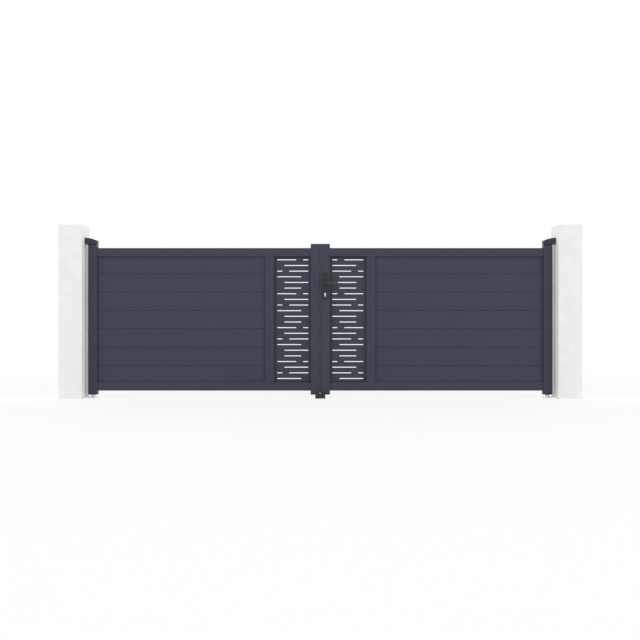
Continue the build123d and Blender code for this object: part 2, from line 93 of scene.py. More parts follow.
# %% Sky and lamps
SKY_LIGHT = 0.55
LAMPS = {
    "street_left_lamp": {"way": (-8.0, -4.6, 4.3), "strength": 1.10},
    "street_right_lamp": {"way": (8.0, -4.6, 4.3), "strength": 1.10},
    "yard_left_lamp": {"way": (-5.0, 8.0, 4.0), "strength": 0.72},
    "yard_right_lamp": {"way": (5.0, 8.0, 4.0), "strength": 0.72},
}
LAMP_DISC = math.radians(35)
GATE_MIDDLE = Vector((2.1, 0.0, 0.7))
WHITE = (1.0, 1.0, 1.0)


def seen_directly(tree):
    """Factor that is 1 for camera, mirror and see-through rays, and 0 for the light itself."""
    path = tree.nodes.new("ShaderNodeLightPath")
    total = path.outputs["Is Camera Ray"]
    for ray in ("Is Glossy Ray", "Is Transmission Ray"):
        either = tree.nodes.new("ShaderNodeMath")
        either.operation = "MAXIMUM"
        tree.links.new(total, either.inputs[0])
        tree.links.new(path.outputs[ray], either.inputs[1])
        total = either.outputs[0]
    return total


def paint_sky():
    """White where it is looked at, and a softer light elsewhere."""
    world = bpy.data.worlds.new("studio_sky")
    world.use_nodes = True
    tree = world.node_tree
    light = tree.nodes["Background"]
    light.inputs["Color"].default_value = (*WHITE, 1.0)
    light.inputs["Strength"].default_value = SKY_LIGHT
    white = tree.nodes.new("ShaderNodeBackground")
    white.inputs["Color"].default_value = (*WHITE, 1.0)
    white.inputs["Strength"].default_value = 1.0
    pick = tree.nodes.new("ShaderNodeMixShader")
    tree.links.new(seen_directly(tree), pick.inputs[0])
    tree.links.new(light.outputs[0], pick.inputs[1])
    tree.links.new(white.outputs[0], pick.inputs[2])
    tree.links.new(pick.outputs[0], tree.nodes["World Output"].inputs["Surface"])
    scene.world = world


def hang_lamp(name, way, strength):
    """A soft sun that shines on the gate from the way given."""
    lamp = bpy.data.objects.new(name, bpy.data.lights.new(name, "SUN"))
    lamp.data.angle = LAMP_DISC
    lamp.data.energy = strength
    lamp.location = GATE_MIDDLE + Vector(way)
    lamp.rotation_euler = Vector(way).to_track_quat("Z", "Y").to_euler()
    scene.collection.objects.link(lamp)


paint_sky()
for lamp_name, lamp_facts in LAMPS.items():
    hang_lamp(lamp_name, **lamp_facts)
print("sky of strength", SKY_LIGHT, "and", len(LAMPS), "lamps")

# %% [markdown]
# ## A pale floor
# The floor is only there to stand on and to catch a faint shadow. It is a large pale plane. Most of
# what the camera sees of it is plain white, so it melts into the background, and the rest is
# ordinary shading, so a soft shadow stays under the gate.

# %% Floor
FLOOR_REACH = 60.0
FLOOR_WHITE = 0.96
FLOOR_MELT = 0.8


def lay_floor():
    """A large pale plane under the gate."""
    mesh = bpy.data.meshes.new("studio_floor")
    corners = [(GATE_MIDDLE.x + x * FLOOR_REACH, y * FLOOR_REACH, 0.0)
               for x, y in ((-1, -1), (1, -1), (1, 1), (-1, 1))]
    mesh.from_pydata(corners, [], [(0, 1, 2, 3)])
    floor = bpy.data.objects.new("studio_floor", mesh)
    scene.collection.objects.link(floor)
    paint = bpy.data.materials.new("pale_floor")
    paint.use_nodes = True
    tree = paint.node_tree
    tree.nodes.remove(tree.nodes["Principled BSDF"])
    shade = tree.nodes.new("ShaderNodeBsdfDiffuse")
    shade.inputs["Color"].default_value = (FLOOR_WHITE, FLOOR_WHITE, FLOOR_WHITE, 1.0)
    white = tree.nodes.new("ShaderNodeEmission")
    melt = tree.nodes.new("ShaderNodeMixShader")
    melt.inputs[0].default_value = FLOOR_MELT
    pick = tree.nodes.new("ShaderNodeMixShader")
    tree.links.new(shade.outputs[0], melt.inputs[1])
    tree.links.new(white.outputs[0], melt.inputs[2])
    tree.links.new(seen_directly(tree), pick.inputs[0])
    tree.links.new(shade.outputs[0], pick.inputs[1])
    tree.links.new(melt.outputs[0], pick.inputs[2])
    tree.links.new(pick.outputs[0], tree.nodes["Material Output"].inputs["Surface"])
    mesh.materials.append(paint)


lay_floor()
print("floor reaches", FLOOR_REACH, "m each way")

# %% [markdown]
# ## What every finish is mixed from
# Real finishes are never one flat colour. A few helpers mix them all: a noise or cells that say
# where a surface changes, then a colour, a roughness and a fine relief that follow it. In even light
# a relief hardly shows, so the hollows of a grain are darkened in the colour too, as painted shade.
# The noise is read in object coordinates, which are metres here, so a grain of 1 mm really is 1 mm
# and stays on the piece when the gate opens.

# %% Helpers for finishes
NOISE_LOW = 0.3
NOISE_HIGH = 0.7


def new_finish(name, gloss=0.5, metal=0.0):
    """A principled material, with the values that are the same all over set on its sockets."""
    material = bpy.data.materials.new(name)
    material.use_nodes = True
    shader = material.node_tree.nodes["Principled BSDF"]
    shader.inputs["Specular IOR Level"].default_value = gloss
    shader.inputs["Metallic"].default_value = metal
    return material


def speckle(material, size, detail=2.0, stretch=(1.0, 1.0, 1.0)):
    """Noise whose blotches are about size metres across, drawn out where stretch is small."""
    tree = material.node_tree
    place = tree.nodes.new("ShaderNodeTexCoord")
    scale = tree.nodes.new("ShaderNodeMapping")
    scale.inputs["Scale"].default_value = stretch
    cloud = tree.nodes.new("ShaderNodeTexNoise")
    cloud.inputs["Scale"].default_value = 1.0 / size
    cloud.inputs["Detail"].default_value = detail
    tree.links.new(place.outputs["Object"], scale.inputs["Vector"])
    tree.links.new(scale.outputs["Vector"], cloud.inputs["Vector"])
    return cloud.outputs[0]


def crystals(material, size):
    """Cells about size metres across, each with its own random value."""
    tree = material.node_tree
    place = tree.nodes.new("ShaderNodeTexCoord")
    cells = tree.nodes.new("ShaderNodeTexVoronoi")
    cells.inputs["Scale"].default_value = 1.0 / size
    tree.links.new(place.outputs["Object"], cells.inputs["Vector"])
    part = tree.nodes.new("ShaderNodeSeparateColor")
    tree.links.new(cells.outputs["Color"], part.inputs["Color"])
    return part.outputs["Red"]


def height_ramp(material, low, high):
    """Runs up with the height above the ground, from low to high metres."""
    tree = material.node_tree
    place = tree.nodes.new("ShaderNodeTexCoord")
    part = tree.nodes.new("ShaderNodeSeparateXYZ")
    spread = tree.nodes.new("ShaderNodeMapRange")
    spread.inputs["From Min"].default_value = low
    spread.inputs["From Max"].default_value = high
    spread.inputs["To Min"].default_value = NOISE_LOW
    spread.inputs["To Max"].default_value = NOISE_HIGH
    tree.links.new(place.outputs["Object"], part.inputs["Vector"])
    tree.links.new(part.outputs["Z"], spread.inputs["Value"])
    return spread.outputs["Result"]


def ramp(tree, factor, dark, light):
    """Colour that runs from dark to light over the range where most of a noise lies."""
    blend = tree.nodes.new("ShaderNodeValToRGB")
    ends = ((NOISE_LOW, dark), (NOISE_HIGH, light))
    for stop, (place, colour) in zip(blend.color_ramp.elements, ends):
        stop.position = place
        stop.color = (*colour, 1.0)
    tree.links.new(factor, blend.inputs["Fac"])
    return blend.outputs["Color"]


def tint(material, factor, dark, light, painted_hollow_shades=()):
    """Base colour from dark to light, with painted shade darkening the hollows of each (factor,
    shade) grain.
    """
    tree = material.node_tree
    colour = ramp(tree, factor, dark, light)
    for grain, shade in painted_hollow_shades:
        darken = tree.nodes.new("ShaderNodeMix")
        darken.data_type = "RGBA"
        darken.blend_type = "MULTIPLY"
        darken.inputs["Factor"].default_value = 1.0
        colour_in, grain_in = [socket for socket in darken.inputs if socket.type == "RGBA"]
        tree.links.new(colour, colour_in)
        tree.links.new(ramp(tree, grain, (shade, shade, shade), WHITE), grain_in)
        colour = next(socket for socket in darken.outputs if socket.type == "RGBA")
    tree.links.new(colour, tree.nodes["Principled BSDF"].inputs["Base Color"])


def polish(material, factor, smooth, rough):
    """Roughness that runs from smooth to rough."""
    tree = material.node_tree
    spread = tree.nodes.new("ShaderNodeMapRange")
    spread.inputs["From Min"].default_value = NOISE_LOW
    spread.inputs["From Max"].default_value = NOISE_HIGH
    spread.inputs["To Min"].default_value = smooth
    spread.inputs["To Max"].default_value = rough
    tree.links.new(factor, spread.inputs["Value"])
    tree.links.new(spread.outputs["Result"], tree.nodes["Principled BSDF"].inputs["Roughness"])


def relief(material, *layers):
    """Bumps of the given depths in metres, laid one over the other."""
    tree = material.node_tree
    below = None
    for height, depth in layers:
        bump = tree.nodes.new("ShaderNodeBump")
        bump.inputs["Strength"].default_value = 1.0
        bump.inputs["Distance"].default_value = depth
        tree.links.new(height, bump.inputs["Height"])
        if below is not None:
            tree.links.new(below, bump.inputs["Normal"])
        below = bump.outputs["Normal"]
    tree.links.new(below, tree.nodes["Principled BSDF"].inputs["Normal"])


print("helpers for colour, roughness and relief are ready")

# %% [markdown]
# ## Anthracite powder coat
# The leaves are sprayed with dry powder and baked, which leaves a satin skin with a fine grain, like
# very fine leather. The grain is about a millimetre wide and a few hundredths deep, so it is a bump,
# and its hollows carry painted shade. A slow drift in tone keeps two metres of board from looking
# printed.
# The moulded hoods and caps are made to match it, a little darker and duller, and the caps at the
# stiles' feet are darkened near the ground with painted shade.

# %% Leaf finishes
def anthracite_coat():
    """Satin powder coat with a fine leather grain and a slow drift in tone."""
    coat = new_finish("anthracite_coat", gloss=0.25)
    drift = speckle(coat, 350 * MM)
    flow = speckle(coat, 6 * MM)
    leather = speckle(coat, 1.1 * MM)
    # The hollows of the leather grain and of the flow are darkened with painted shade.
    tint(coat, drift, dark=(0.0435, 0.0472, 0.0725), light=(0.0472, 0.0510, 0.0773),
         painted_hollow_shades=[(leather, 0.82), (flow, 0.95)])
    polish(coat, leather, smooth=0.40, rough=0.54)
    relief(coat, (leather, 0.06 * MM), (flow, 0.05 * MM))
    return coat


def anthracite_plastic():
    """Moulded plastic that matches the coat, with painted shade that darkens it near the ground."""
    plastic = new_finish("anthracite_plastic", gloss=0.25)
    clouds = speckle(plastic, 50 * MM)
    etch = speckle(plastic, 0.7 * MM)
    # Painted shade: the caps darken towards the ground, and the hollows of the etch are darkened too.
    foot_shade = height_ramp(plastic, 42 * MM, 60 * MM)
    tint(plastic, clouds, dark=(0.0400, 0.0435, 0.0640), light=(0.0445, 0.0480, 0.0700),
         painted_hollow_shades=[(etch, 0.85), (foot_shade, 0.62)])
    polish(plastic, speckle(plastic, 4 * MM), smooth=0.5, rough=0.6)
    relief(plastic, (etch, 0.06 * MM))
    return plastic


finishes = {
    "anthracite_coat": anthracite_coat(),
    "anthracite_plastic": anthracite_plastic(),
}
print("leaf finishes:", sorted(finishes))

# %% [markdown]
# ## White mineral render
# The pillars are masonry with a coat of white render, rubbed with a felt float while it sets. That
# leaves grains of sand, pinholes and soft waves. The waves are real geometry further on. The sand
# grains are a bump, with painted shade in their pits, because grains that small would need millions
# of faces.

# %% Pillar finish
def white_render():
    """Felt-floated white render with sand grains and trowel marks."""
    render = new_finish("white_render", gloss=0.2)
    clouds = speckle(render, 90 * MM, detail=5.0)
    trowel = speckle(render, 8 * MM, detail=3.0)
    sand = speckle(render, 1.8 * MM, detail=3.0)
    # The pits of the sand and the trowel marks are darkened with painted shade.
    tint(render, clouds, dark=(0.85, 0.85, 0.845), light=(0.90, 0.90, 0.895),
         painted_hollow_shades=[(sand, 0.90), (trowel, 0.97)])
    polish(render, speckle(render, 10 * MM), smooth=0.85, rough=0.95)
    relief(render, (sand, 0.4 * MM), (trowel, 0.6 * MM))
    return render


finishes["white_render"] = white_render()
print("pillar finish mixed")

# %% [markdown]
# ## Black plastic, rubber and lock coat
# The ground stop is moulded in black plastic, scuffed by tyres and shoes, and the slotted sheets sit
# in black rubber. Plastic has a finer grain and a little more shine than rubber, which is what tells
# the eye which is which. The lock plates have a smooth black coat, and the levers have the same coat
# painted paler as a highlight, and a little shinier.

# %% Black finishes
def black_plastic():
    """Moulded plastic with long scuffs and a fine etched grain."""
    plastic = new_finish("black_plastic", gloss=0.3)
    scuffs = speckle(plastic, 4 * MM, detail=3.0, stretch=(0.15, 1.0, 1.0))
    etch = speckle(plastic, 0.9 * MM)
    # The hollows of the etched grain are darkened with painted shade.
    tint(plastic, scuffs, dark=(0.0198, 0.0216, 0.0250), light=(0.0275, 0.0299, 0.0347),
         painted_hollow_shades=[(etch, 0.8)])
    polish(plastic, scuffs, smooth=0.42, rough=0.6)
    relief(plastic, (etch, 0.08 * MM))
    return plastic


def black_rubber():
    """Dull rubber with a soft grain."""
    rubber = new_finish("black_rubber", gloss=0.25)
    bloom = speckle(rubber, 30 * MM)
    tint(rubber, bloom, dark=(0.0090, 0.0090, 0.0090), light=(0.0140, 0.0140, 0.0145))
    polish(rubber, speckle(rubber, 10 * MM), smooth=0.65, rough=0.8)
    relief(rubber, (speckle(rubber, 1.5 * MM), 0.05 * MM))
    return rubber


def black_coat():
    """Smooth coat of the lock plates."""
    coat = new_finish("black_coat", gloss=0.35)
    clouds = speckle(coat, 20 * MM)
    tint(coat, clouds, dark=(0.0160, 0.0170, 0.0172), light=(0.0205, 0.0217, 0.0220))
    polish(coat, speckle(coat, 6 * MM), smooth=0.3, rough=0.42)
    relief(coat, (speckle(coat, 0.9 * MM), 0.03 * MM))
    return coat


def lever_highlight_coat():
    """The same coat on the levers, painted paler as a highlight, and shinier."""
    coat = new_finish("lever_highlight_coat", gloss=0.4)
    lever_drift = speckle(coat, 30 * MM, detail=3.0)
    # The whole lever is painted paler than the plates, as a painted highlight.
    tint(coat, lever_drift, dark=(0.036, 0.037, 0.040), light=(0.043, 0.044, 0.047))
    polish(coat, lever_drift, smooth=0.26, rough=0.4)
    relief(coat, (speckle(coat, 0.9 * MM), 0.03 * MM))
    return coat


finishes["black_plastic"] = black_plastic()
finishes["black_rubber"] = black_rubber()
finishes["black_coat"] = black_coat()
finishes["lever_highlight_coat"] = lever_highlight_coat()
print("black finishes mixed")

# %% [markdown]
# ## Bare metals
# Four metals are left without paint. Hot zinc freezes on the brackets and floor pivots in crystals
# that show as pale and dark flakes, so cells give it colour and roughness. Rain dulls it to a pale
# grey, so it is only partly a metal. The lock's forend is brushed along its length, so its noise is
# drawn out that way. The cylinder is nickel plated and nearly smooth, and the screws have thin
# bright zinc.

# %% Metal finishes
def galvanised_steel():
    """Hot zinc, frozen in pale and dark flakes."""
    zinc = new_finish("galvanised_steel", metal=0.5)
    flakes = crystals(zinc, 9 * MM)
    tint(zinc, flakes, dark=(0.66, 0.67, 0.68), light=(0.84, 0.845, 0.85))
    polish(zinc, flakes, smooth=0.48, rough=0.65)
    relief(zinc, (speckle(zinc, 4 * MM), 0.1 * MM))
    return zinc


def stainless_steel():
    """Steel that is brushed upright."""
    steel = new_finish("stainless_steel", metal=1.0)
    brushing = speckle(steel, 0.4 * MM, detail=2.0, stretch=(1.0, 1.0, 0.02))
    tint(steel, brushing, dark=(0.56, 0.55, 0.54), light=(0.68, 0.67, 0.66))
    polish(steel, brushing, smooth=0.25, rough=0.4)
    relief(steel, (brushing, 0.01 * MM))
    return steel


def nickel_plate():
    """Nearly smooth plating of the lock cylinder."""
    nickel = new_finish("nickel_plate", metal=1.0)
    clouds = speckle(nickel, 8 * MM)
    tint(nickel, clouds, dark=(0.70, 0.685, 0.65), light=(0.78, 0.765, 0.73))
    polish(nickel, speckle(nickel, 1 * MM), smooth=0.18, rough=0.3)
    relief(nickel, (speckle(nickel, 1.2 * MM), 0.01 * MM))
    return nickel


def bright_zinc():
    """Thin bright zinc of the screws and bolts."""
    zinc = new_finish("bright_zinc", metal=0.8)
    clouds = speckle(zinc, 5 * MM)
    tint(zinc, clouds, dark=(0.76, 0.765, 0.775), light=(0.86, 0.865, 0.87))
    polish(zinc, speckle(zinc, 2 * MM), smooth=0.28, rough=0.45)
    relief(zinc, (speckle(zinc, 0.8 * MM), 0.02 * MM))
    return zinc


finishes["galvanised_steel"] = galvanised_steel()
finishes["stainless_steel"] = stainless_steel()
finishes["nickel_plate"] = nickel_plate()
finishes["bright_zinc"] = bright_zinc()
print("metal finishes mixed,", len(finishes), "in all")

# %% [markdown]
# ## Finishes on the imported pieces
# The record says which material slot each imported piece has, so each piece takes the finish of that
# name. A real profile never has knife edges: the powder builds up on them and they catch the light.
# A narrow bevel gives that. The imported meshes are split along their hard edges, so a weld comes
# first, and weighted normals keep the flat faces flat.

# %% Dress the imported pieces
EDGE_RADIUS = {
    "anthracite_coat": 0.8 * MM,
    "anthracite_plastic": 1.2 * MM,
    "black_plastic": 1.2 * MM,
    "black_coat": 0.7 * MM,
    "galvanised_steel": 0.8 * MM,
    "stainless_steel": 0.3 * MM,
    "nickel_plate": 0.3 * MM,
    "black_rubber": 0.4 * MM,
}
SHARP_ANGLE = math.radians(35)
WELD_REACH = 0.01 * MM
BEVEL_STEPS = 2


def soften_edges(piece, radius):
    """Weld the split edges, round the sharp ones and keep the flats flat."""
    weld = piece.modifiers.new("weld", "WELD")
    weld.merge_threshold = WELD_REACH
    bevel = piece.modifiers.new("edge", "BEVEL")
    bevel.width = radius
    bevel.segments = BEVEL_STEPS
    bevel.limit_method = "ANGLE"
    bevel.angle_limit = SHARP_ANGLE
    piece.modifiers.new("flats", "WEIGHTED_NORMAL")


for row in frame["record"]["subparts"]:
    piece = nodes[row["node"]]
    # Levers take the black coat painted paler, as a painted highlight.
    finish = "lever_highlight_coat" if row["node"].endswith("_lever") else row["material_slot"]
    piece.material_slots[0].material = finishes[finish]
    if row["material_slot"] in EDGE_RADIUS:
        soften_edges(piece, EDGE_RADIUS[row["material_slot"]])

# %% [markdown]
# ## One way to make small parts
# Screws, seals, plates and pillars are all skins stretched over loops of points: a bolt is a stack of
# round and six-sided loops, a seal is its section at both ends. One helper joins loops into a skin,
# and another turns skins into a piece that rides on its body.

# %% Helpers for meshes
ROUND_STEPS = 24


def skin(loops, ring=False):
    """Faces between loops of equal length, capped at both ends or joined into a ring."""
    count = len(loops[0])
    points = [point for loop in loops for point in loop]
    spans = len(loops) if ring else len(loops) - 1
    faces = []
    for span in range(spans):
        here = span * count
        there = (span + 1) % len(loops) * count
        for step in range(count):
            after = (step + 1) % count
            faces.append((here + step, here + after, there + after, there + step))
    if not ring:
        faces.append(tuple(reversed(range(count))))
        faces.append(tuple(range(len(points) - count, len(points))))
    return points, faces


def make_piece(name, body, finish, skins):
    """Join skins into one piece in its finish, and let it ride on a body."""
    points, faces = [], []
    for skin_points, skin_faces in skins:
        faces += [tuple(index + len(points) for index in face) for face in skin_faces]
        points += skin_points
    mesh = bpy.data.meshes.new(name)
    mesh.from_pydata(points, [], faces)
    shell = bmesh.new()
    shell.from_mesh(mesh)
    bmesh.ops.recalc_face_normals(shell, faces=shell.faces)
    shell.to_mesh(mesh)
    shell.free()
    mesh.shade_smooth()
    mesh.set_sharp_from_angle(angle=SHARP_ANGLE)
    mesh.materials.append(finishes[finish])
    piece = bpy.data.objects.new(name, mesh)
    scene.collection.objects.link(piece)
    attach(piece, body)
    return piece


print("helpers for meshes are ready")

# %% [markdown]
# ## Rendered pillars
# A rendered pillar is not a perfect box. The float leaves shallow waves and the corners are rounded
# by hand. The pillar is a stack of rounded square loops, closed on top by smaller and smaller ones,
# and each point is pushed inward by a smooth noise of up to a millimetre and a half. Pushing only
# inward keeps the pillar inside its real size.

# %% Pillars
RENDER_STEP = 6 * MM
CORNER_RADIUS = 4 * MM
CORNER_STEPS = 4
WAVE_LENGTH = 110 * MM
WAVE_DEPTH = 0.9 * MM
GRAIN_LENGTH = 18 * MM
GRAIN_DEPTH = 0.5 * MM


def rounded_square(half, radius, steps):
    """Points and outward directions round a square with rounded corners."""
    flat = half - radius
    outline = []
    for turn in range(4):
        start = turn * math.pi / 2
        out = Vector((math.cos(start), math.sin(start)))
        along = Vector((-out.y, out.x))
        for step in range(steps):
            shift = -flat + 2 * flat * step / steps
            outline.append((out * half + along * shift, out))
        middle = (out + along) * flat
        for step in range(CORNER_STEPS):
            angle = start + math.pi / 2 * step / CORNER_STEPS
            way = Vector((math.cos(angle), math.sin(angle)))
            outline.append((middle + way * radius, way))
    return outline


def float_marks(place):
    """How far the float has pressed the render in at a place."""
    wave = (noise.noise(place / WAVE_LENGTH) + 1) / 2
    grain = (noise.noise(place / GRAIN_LENGTH) + 1) / 2
    return WAVE_DEPTH * wave + GRAIN_DEPTH * grain


def pillar_levels(bottom, top, half, steps):
    """Height and inset of each loop: up the sides, round the upper edge and in over the top."""
    upright = top - bottom - CORNER_RADIUS
    rows = round(upright / RENDER_STEP)
    levels = [(bottom + upright * row / rows, 0.0) for row in range(rows + 1)]
    for step in range(1, CORNER_STEPS + 1):
        angle = math.pi / 2 * step / CORNER_STEPS
        rise = CORNER_RADIUS * math.sin(angle)
        levels.append((top - CORNER_RADIUS + rise, CORNER_RADIUS * (1 - math.cos(angle))))
    top_rings = steps // 2
    for ring in range(1, top_rings):
        levels.append((top, CORNER_RADIUS + (half - CORNER_RADIUS) * ring / top_rings))
    return levels


def rendered_pillar(side):
    """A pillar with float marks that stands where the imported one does."""
    low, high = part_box(f"{side}_pillar")
    centre = (low + high) / 2
    half = (high.x - low.x) / 2
    steps = round(2 * half / RENDER_STEP)
    loops = []
    for height, inset in pillar_levels(low.z, high.z, half, steps):
        on_top = max(0.0, min(1.0, inset / CORNER_RADIUS))
        loop = []
        for spot, way in rounded_square(half, CORNER_RADIUS, steps):
            spot = spot * (1 - inset / half)
            place = Vector((centre.x + spot.x, centre.y + spot.y, height))
            push = Vector((way.x * (1 - on_top), way.y * (1 - on_top), on_top))
            loop.append(place - push * float_marks(place) * (height > low.z))
        loops.append(loop)
    name = f"{side}_rendered_pillar"
    pillar = make_piece(name, "posts", "white_render", [skin(loops)])
    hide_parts(f"{side}_pillar")
    return len(pillar.data.polygons)


for side in ("left", "right"):
    print(side, "pillar has", rendered_pillar(side), "faces")

# %% [markdown]
# ## Screws and bolts
# Fasteners are what tells a finished gate from a drawing of one. Each is turned from loops along its
# axis: a hex bolt on its washer, and a low domed screw with a hex socket. A six-sided loop needs
# points on its corners, and 24 steps give four to each side.

# %% Helpers for fasteners
# Each stage has a kind, a size and a height. A bolt's sizes and heights are shares of its width
# across flats. A screw's sizes are shares of its radius, and its heights shares of its height.
HEX_BOLT = (
    ("round", 0.86, 0.00), ("round", 0.90, 0.03), ("round", 0.90, 0.11), ("round", 0.86, 0.14),
    ("hex", 1.00, 0.14), ("hex", 1.00, 0.47), ("round", 0.47, 0.54),
)
SOCKET_SCREW = (
    ("round", 1.00, 0.00), ("round", 1.00, 0.30), ("round", 0.90, 0.70), ("round", 0.72, 1.00),
    ("hex", 0.90, 1.00), ("hex", 0.90, 0.30), ("round", 0.10, 0.15),
)


def hex_reach(angle, across):
    """Distance from the middle of a hexagon to its edge, given its width across flats."""
    return across / 2 / math.cos((angle + math.pi / 6) % (math.pi / 3) - math.pi / 6)


def turned(place, axis, stages):
    """A skin along an axis from stages of (kind, size, height), with kind round or hex."""
    axis = Vector(axis)
    side = axis.orthogonal().normalized()
    up = axis.cross(side)
    loops = []
    for kind, size, height in stages:
        loop = []
        for step in range(ROUND_STEPS):
            angle = 2 * math.pi * step / ROUND_STEPS
            reach = hex_reach(angle, size) if kind == "hex" else size
            loop.append(Vector(place) + axis * height
                        + side * reach * math.cos(angle) + up * reach * math.sin(angle))
        loops.append(loop)
    return skin(loops)


def hex_bolt(place, axis, across):
    """Hex head on a washer, in the proportions of a common steel bolt."""
    stages = [(kind, size * across, rise * across) for kind, size, rise in HEX_BOLT]
    return turned(place, axis, stages)


def socket_screw(place, axis, radius, height):
    """Low domed head with a hex socket."""
    stages = [(kind, size * radius, rise * height) for kind, size, rise in SOCKET_SCREW]
    return turned(place, axis, stages)


print("a hex bolt has", len(HEX_BOLT), "stages and a socket screw", len(SOCKET_SCREW))

# %% Bolts on the ground plates and brackets
ANCHOR_RADIUS = 7 * MM
ANCHOR_HEIGHT = 3 * MM
ANCHOR_INSET = 11 * MM
BRACKET_BOLT_ACROSS = 10 * MM
BRACKET_BOLT_Y = 13 * MM
BRACKET_BOLT_DROP = 9 * MM
BRACKET_FLANGE = 8 * MM
PIVOT_PLATE = 8 * MM
STOP_BASE = 6 * MM
STOP_BOLT_X = 28 * MM
STOP_BOLT_ACROSS = 13 * MM

for side, inward in (("left", 1), ("right", -1)):
    low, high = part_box(f"{side}_floor_pivot")
    anchors = [
        socket_screw((x, y, low.z + PIVOT_PLATE), (0, 0, 1), ANCHOR_RADIUS, ANCHOR_HEIGHT)
        for x in (low.x + ANCHOR_INSET, high.x - ANCHOR_INSET)
        for y in (low.y + ANCHOR_INSET, high.y - ANCHOR_INSET)
    ]
    make_piece(f"{side}_pivot_bolts", "posts", "bright_zinc", anchors)
    low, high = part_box(f"{side}_top_hinge")
    flange_face = low.x + BRACKET_FLANGE if inward > 0 else high.x - BRACKET_FLANGE
    bracket_bolts = [
        hex_bolt((flange_face, y, high.z - BRACKET_BOLT_DROP), (inward, 0, 0), BRACKET_BOLT_ACROSS)
        for y in (-BRACKET_BOLT_Y, BRACKET_BOLT_Y)
    ]
    make_piece(f"{side}_bracket_bolts", "posts", "bright_zinc", bracket_bolts)

stop_low, stop_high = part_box("centre_stop")
stop_middle = (stop_low.x + stop_high.x) / 2
stop_bolts = [
    hex_bolt((stop_middle + x, 0.0, STOP_BASE), (0, 0, 1), STOP_BOLT_ACROSS)
    for x in (-STOP_BOLT_X, STOP_BOLT_X)
]
make_piece("stop_bolts", "posts", "bright_zinc", stop_bolts)
print("on each side", len(anchors), "pivot anchors and", len(bracket_bolts), "bracket bolts, and",
      len(stop_bolts), "bolts in the stop")

# %% [markdown]
# ## Screws of the leaves and the lock
# The rails are held by screws driven through the stiles' outer edges, two to each rail end. Two more
# hold each lock plate and the forend. They are small, so they are joined into one piece for each
# place, which keeps the list of pieces short.

# %% Screws of the leaves
FRAME_SCREW_RADIUS = 5.5 * MM
FRAME_SCREW_HEIGHT = 2.6 * MM
FLUSH_HEIGHT = 0.8 * MM
FRAME_SCREW_SPREAD = 18 * MM

for side, outward in (("left", -1), ("right", 1)):
    hinge_low, hinge_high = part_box(f"{side}_hinge_stile")
    meet_low, meet_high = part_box(f"{side}_meeting_stile")
    hinge_edge = hinge_low.x if outward < 0 else hinge_high.x
    meeting_edge = meet_high.x if outward < 0 else meet_low.x
    screws = []
    for rail in ("bottom_rail", "top_rail"):
        rail_low, rail_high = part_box(f"{side}_{rail}")
        middle = (rail_low.z + rail_high.z) / 2
        for height in (middle - FRAME_SCREW_SPREAD, middle + FRAME_SCREW_SPREAD):
            screws.append(socket_screw(
                (hinge_edge, 0.0, height), (outward, 0, 0), FRAME_SCREW_RADIUS, FRAME_SCREW_HEIGHT))
            screws.append(socket_screw(
                (meeting_edge, 0.0, height), (-outward, 0, 0), FRAME_SCREW_RADIUS, FLUSH_HEIGHT))
    make_piece(f"{side}_frame_screws", f"{side}_leaf", "bright_zinc", screws)
    print(side, "leaf has", len(screws), "frame screws")

# %% Screws of the lock
LOCK_SCREW_RADIUS = 3.6 * MM
LOCK_SCREW_HEIGHT = 1.6 * MM
PLATE_SCREW_INSET = 14 * MM
FOREND_SCREW_INSET = 12 * MM
FOREND_THICKNESS = 2.5 * MM

plate_low, plate_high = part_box("lock_plates")
lock_x = (plate_low.x + plate_high.x) / 2
plate_screws = []
for height in (plate_low.z + PLATE_SCREW_INSET, plate_high.z - PLATE_SCREW_INSET):
    for face, outward in ((plate_low.y, -1), (plate_high.y, 1)):
        plate_screws.append(socket_screw(
            (lock_x, face, height), (0, outward, 0), LOCK_SCREW_RADIUS, LOCK_SCREW_HEIGHT))
make_piece("lock_plate_screws", "right_leaf", "black_coat", plate_screws)

forend_low, forend_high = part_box("lock_forend")
forend_face = forend_high.x - FOREND_THICKNESS
forend_screws = [
    socket_screw((forend_face, 0.0, height), (-1, 0, 0), LOCK_SCREW_RADIUS, FLUSH_HEIGHT)
    for height in (forend_low.z + FOREND_SCREW_INSET, forend_high.z - FOREND_SCREW_INSET)
]
make_piece("forend_screws", "right_leaf", "stainless_steel", forend_screws)
print("lock has", len(plate_screws), "plate screws and", len(forend_screws), "forend screws")

# %% [markdown]
# ## Rosettes and key plugs
# A thin rosette covers the joint where each lever goes into its plate, and each end of the cylinder
# has a round plug with a slit for the key. The rosette is a ring, so its loops join up with
# themselves. The plug is a stack of loops too: the last ones shrink to the slit and go down into it,
# and they are painted black with the rubber finish, as painted shade, since no light reaches in
# there.

# %% Rosettes and key plugs
ROSETTE_INNER = 10.9 * MM
ROSETTE_OUTER = 14.5 * MM
ROSETTE_HEIGHT = 2.0 * MM
PLUG_RADIUS = 6.4 * MM
PLUG_HEIGHT = 1.0 * MM
PLUG_CHAMFER = 0.25 * MM
SLIT_WIDTH = 1.9 * MM
SLIT_HEIGHT = 8.6 * MM
SLIT_FLOOR = 0.1 * MM
SLIT_SQUARENESS = (6.0, 1.04)
FINE_STEPS = 2 * ROUND_STEPS
FINE_ANGLES = [2 * math.pi * step / FINE_STEPS for step in range(FINE_STEPS)]


def rosette(place, axis):
    """A flat ring whose outer edge slopes off."""
    section = (
        (ROSETTE_INNER, 0.0), (ROSETTE_OUTER, 0.0), (ROSETTE_OUTER, ROSETTE_HEIGHT / 2),
        ((ROSETTE_OUTER + ROSETTE_INNER) / 2, ROSETTE_HEIGHT), (ROSETTE_INNER, ROSETTE_HEIGHT),
    )
    loops = [
        [Vector(place) + Vector(axis) * height + Vector((reach * math.cos(a), 0, reach * math.sin(a)))
         for a in FINE_ANGLES]
        for reach, height in section
    ]
    return skin(loops, ring=True)


